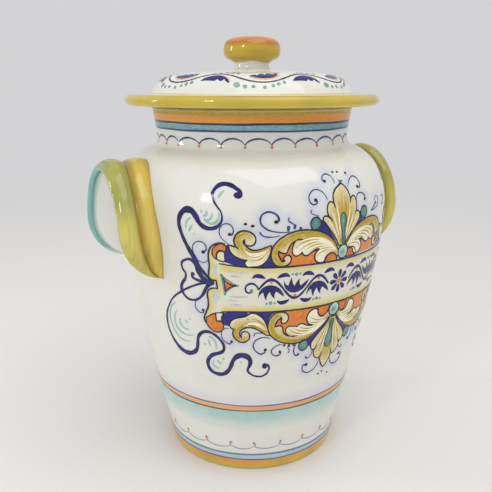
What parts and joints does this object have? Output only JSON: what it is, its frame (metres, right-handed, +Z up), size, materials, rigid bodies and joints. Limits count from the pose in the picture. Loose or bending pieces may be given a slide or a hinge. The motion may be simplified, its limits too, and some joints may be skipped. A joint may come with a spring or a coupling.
{
  "type": "biscuit jar",
  "caption": "Lidded earthenware biscuit jar with a swelling belly, a short flared neck, ribbed arch handles on its shoulder and a domed lid with a bun knob.",
  "frame": {"origin": "centre of the foot ring, on the plane the jar stands on", "axes": "+Z up along the jar's axis, the painted front faces -Y, the handles stand on -X and +X"},
  "size_m": [0.232, 0.1964, 0.3051],
  "materials": {
    "body_glaze": "glossy tin-white glaze, painted",
    "handle_glaze": "glossy olive-yellow glaze",
    "lid_glaze": "glossy tin-white glaze, painted, olive-yellow flange",
    "knob_glaze": "glossy olive-yellow glaze with a brown top"
  },
  "bodies": {
    "jar": {"jar_body": "body_glaze", "left_handle": "handle_glaze", "right_handle": "handle_glaze"},
    "lid": {"lid": "lid_glaze", "knob": "knob_glaze"}
  },
  "joints": [
    {"name": "lid_lift", "type": "slide", "parent": "jar", "child": "lid", "axis": [0, 0, 1], "range_m": [0, 0.12]}
  ]
}
